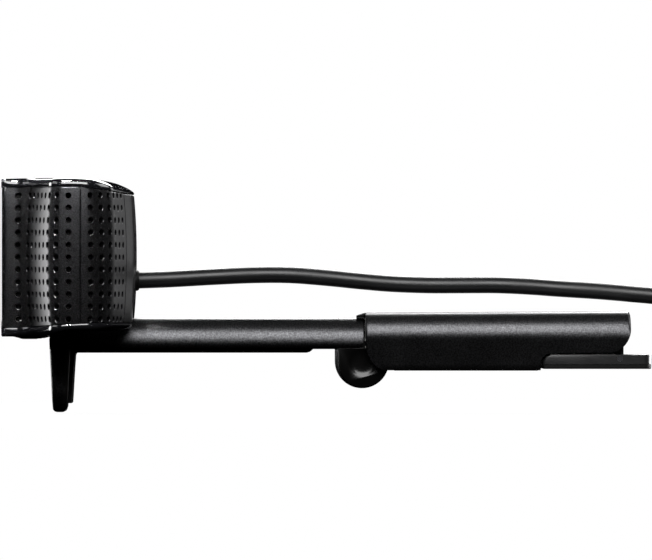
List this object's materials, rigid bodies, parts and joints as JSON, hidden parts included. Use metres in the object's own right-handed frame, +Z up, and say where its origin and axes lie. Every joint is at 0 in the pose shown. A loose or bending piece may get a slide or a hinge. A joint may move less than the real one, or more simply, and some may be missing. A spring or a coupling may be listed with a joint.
{
  "type": "webcam",
  "caption": "Wide bar webcam with perforated swept wings on a folding monitor clip with a lip, a hinged rear leg and a swinging foot, and a tied USB lead.",
  "frame": {"origin": "centre of the base of the camera and clip's bounding box, without the lead, at the level of the lip's tip", "axes": "X along the camera bar, the lens looks along -Y, +Z up; the clip's arm and leg run along +Y"},
  "size_m": [0.1265, 0.2069, 0.0507],
  "materials": {
    "gunmetal_paint": "satin dark grey metallic paint with a fine grain",
    "gloss_black": "high gloss black",
    "window_glass": "coated clear",
    "ring_metal": "satin, dark anodised",
    "black_cloth": "fine black mesh",
    "black_plastic": "matte black moulding",
    "black_rubber": "matte rubber",
    "circuit_board": "green solder mask",
    "sensor_glass": "coated",
    "white_nylon": "natural nylon",
    "can_metal": "tinned can",
    "lamp": "diffuse",
    "light_guide": "clear moulding",
    "brass": "plain turned",
    "steel": "zinc plated",
    "lens_glass": "coated",
    "cord_jacket": "semi-gloss black PVC",
    "tie_strap": "hook and loop strap",
    "plug_plastic": "fine textured moulding",
    "plug_metal": "nickel plated"
  },
  "bodies": {
    "base": {"tilt_post": "black_plastic", "arm_shell": "gunmetal_paint", "arm_stiffener": "steel", "arm_base_plate": "black_plastic", "arm_screws": "steel", "lip_backing": "black_plastic", "grip_liner": "black_rubber", "hinge_lugs": "gunmetal_paint", "hinge_pin": "steel", "hinge_washers": "steel", "hinge_caps": "gloss_black", "cord": "cord_jacket", "cord_coil": "cord_jacket", "cord_tie": "tie_strap", "cord_tail": "cord_jacket", "plug_body": "plug_plastic", "plug_shell": "plug_metal", "plug_tongue": "white_nylon"},
    "head": {"front_panel": "gloss_black", "lens_window": "window_glass", "lens_ring": "ring_metal", "front_housing": "gunmetal_paint", "rear_housing": "gunmetal_paint", "back_cover": "gunmetal_paint", "top_cover": "gloss_black", "bottom_cover": "gloss_black", "acoustic_cloth": "black_cloth", "lens_holder": "black_plastic", "sensor_board": "circuit_board", "image_sensor": "sensor_glass", "board_connector": "white_nylon", "main_board": "circuit_board", "microphones": "can_metal", "status_light": "lamp", "light_pipe": "light_guide", "cable_header": "white_nylon", "board_posts": "brass", "board_screws": "steel", "housing_screws": "steel", "tilt_bracket": "steel", "bracket_screws": "steel", "tilt_axle": "steel", "tilt_nut": "steel", "tilt_washers": "steel", "cord_grommet": "black_rubber"},
    "lens": {"lens_barrel": "black_plastic", "front_lens": "lens_glass", "rear_lens": "lens_glass"},
    "leg": {"leg_shell": "gunmetal_paint", "leg_frame": "black_plastic", "leg_cover": "black_plastic", "leg_screws": "steel"},
    "foot": {"foot_plate": "black_plastic", "foot_pad": "black_rubber", "foot_pin": "steel"}
  },
  "joints": [
    {"name": "head_tilt", "type": "hinge", "parent": "base", "child": "head", "pos_m": [0, -0.0515, 0.0236], "axis": [-1, 0, 0], "range_deg": [-12, 18], "deforming": ["cord"]},
    {"name": "autofocus", "type": "slide", "parent": "head", "child": "lens", "axis": [0, -1, 0], "range_m": [0, 0.0003], "stiffness_N_per_m": 60},
    {"name": "leg_fold", "type": "hinge", "parent": "base", "child": "leg", "pos_m": [0, 0.0077, 0.0111], "axis": [-1, 0, 0], "range_deg": [0, 155]},
    {"name": "foot_swing", "type": "hinge", "parent": "leg", "child": "foot", "pos_m": [0, 0.0637, 0.01165], "axis": [1, 0, 0], "range_deg": [0, 40]}
  ]
}
